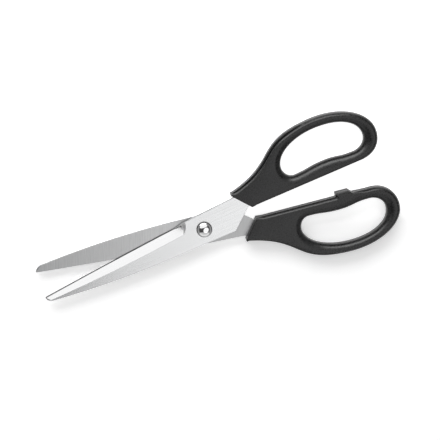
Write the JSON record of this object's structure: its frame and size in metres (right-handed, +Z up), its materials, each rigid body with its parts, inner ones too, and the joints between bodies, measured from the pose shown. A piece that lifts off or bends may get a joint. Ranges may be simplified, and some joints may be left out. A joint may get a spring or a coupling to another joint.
{
  "type": "household scissors",
  "caption": "Straight household scissors with hollow-ground steel blades on a domed rivet and matte black loop handles with a moulded closing stop, shown partly open.",
  "frame": {"origin": "on the surface the handles lie on, under the middle of the whole", "axes": "+X from the blade tips towards the handles, +Y towards the finger handle, +Z up out of the front blade's outer face"},
  "size_m": [0.2092, 0.0806, 0.01],
  "materials": {
    "blade_steel": "satin, ground along the blade, with a brighter bevel",
    "handle_plastic": "matte, finely grained",
    "rivet_chrome": "polished",
    "spring_steel": "plain",
    "nylon": "plain"
  },
  "bodies": {
    "front_half": {"front_blade": "blade_steel", "finger_handle": "handle_plastic", "pivot_rivet": "rivet_chrome", "rivet_cap": "rivet_chrome", "spring_washer": "spring_steel", "friction_washer": "nylon"},
    "rear_half": {"rear_blade": "blade_steel", "thumb_handle": "handle_plastic"}
  },
  "joints": [
    {"name": "blade_pivot", "type": "hinge", "parent": "front_half", "child": "rear_half", "pos_m": [-0.00567, 0, 0.005], "axis": [0, 0, -1], "range_deg": [-8.7, 115]}
  ]
}
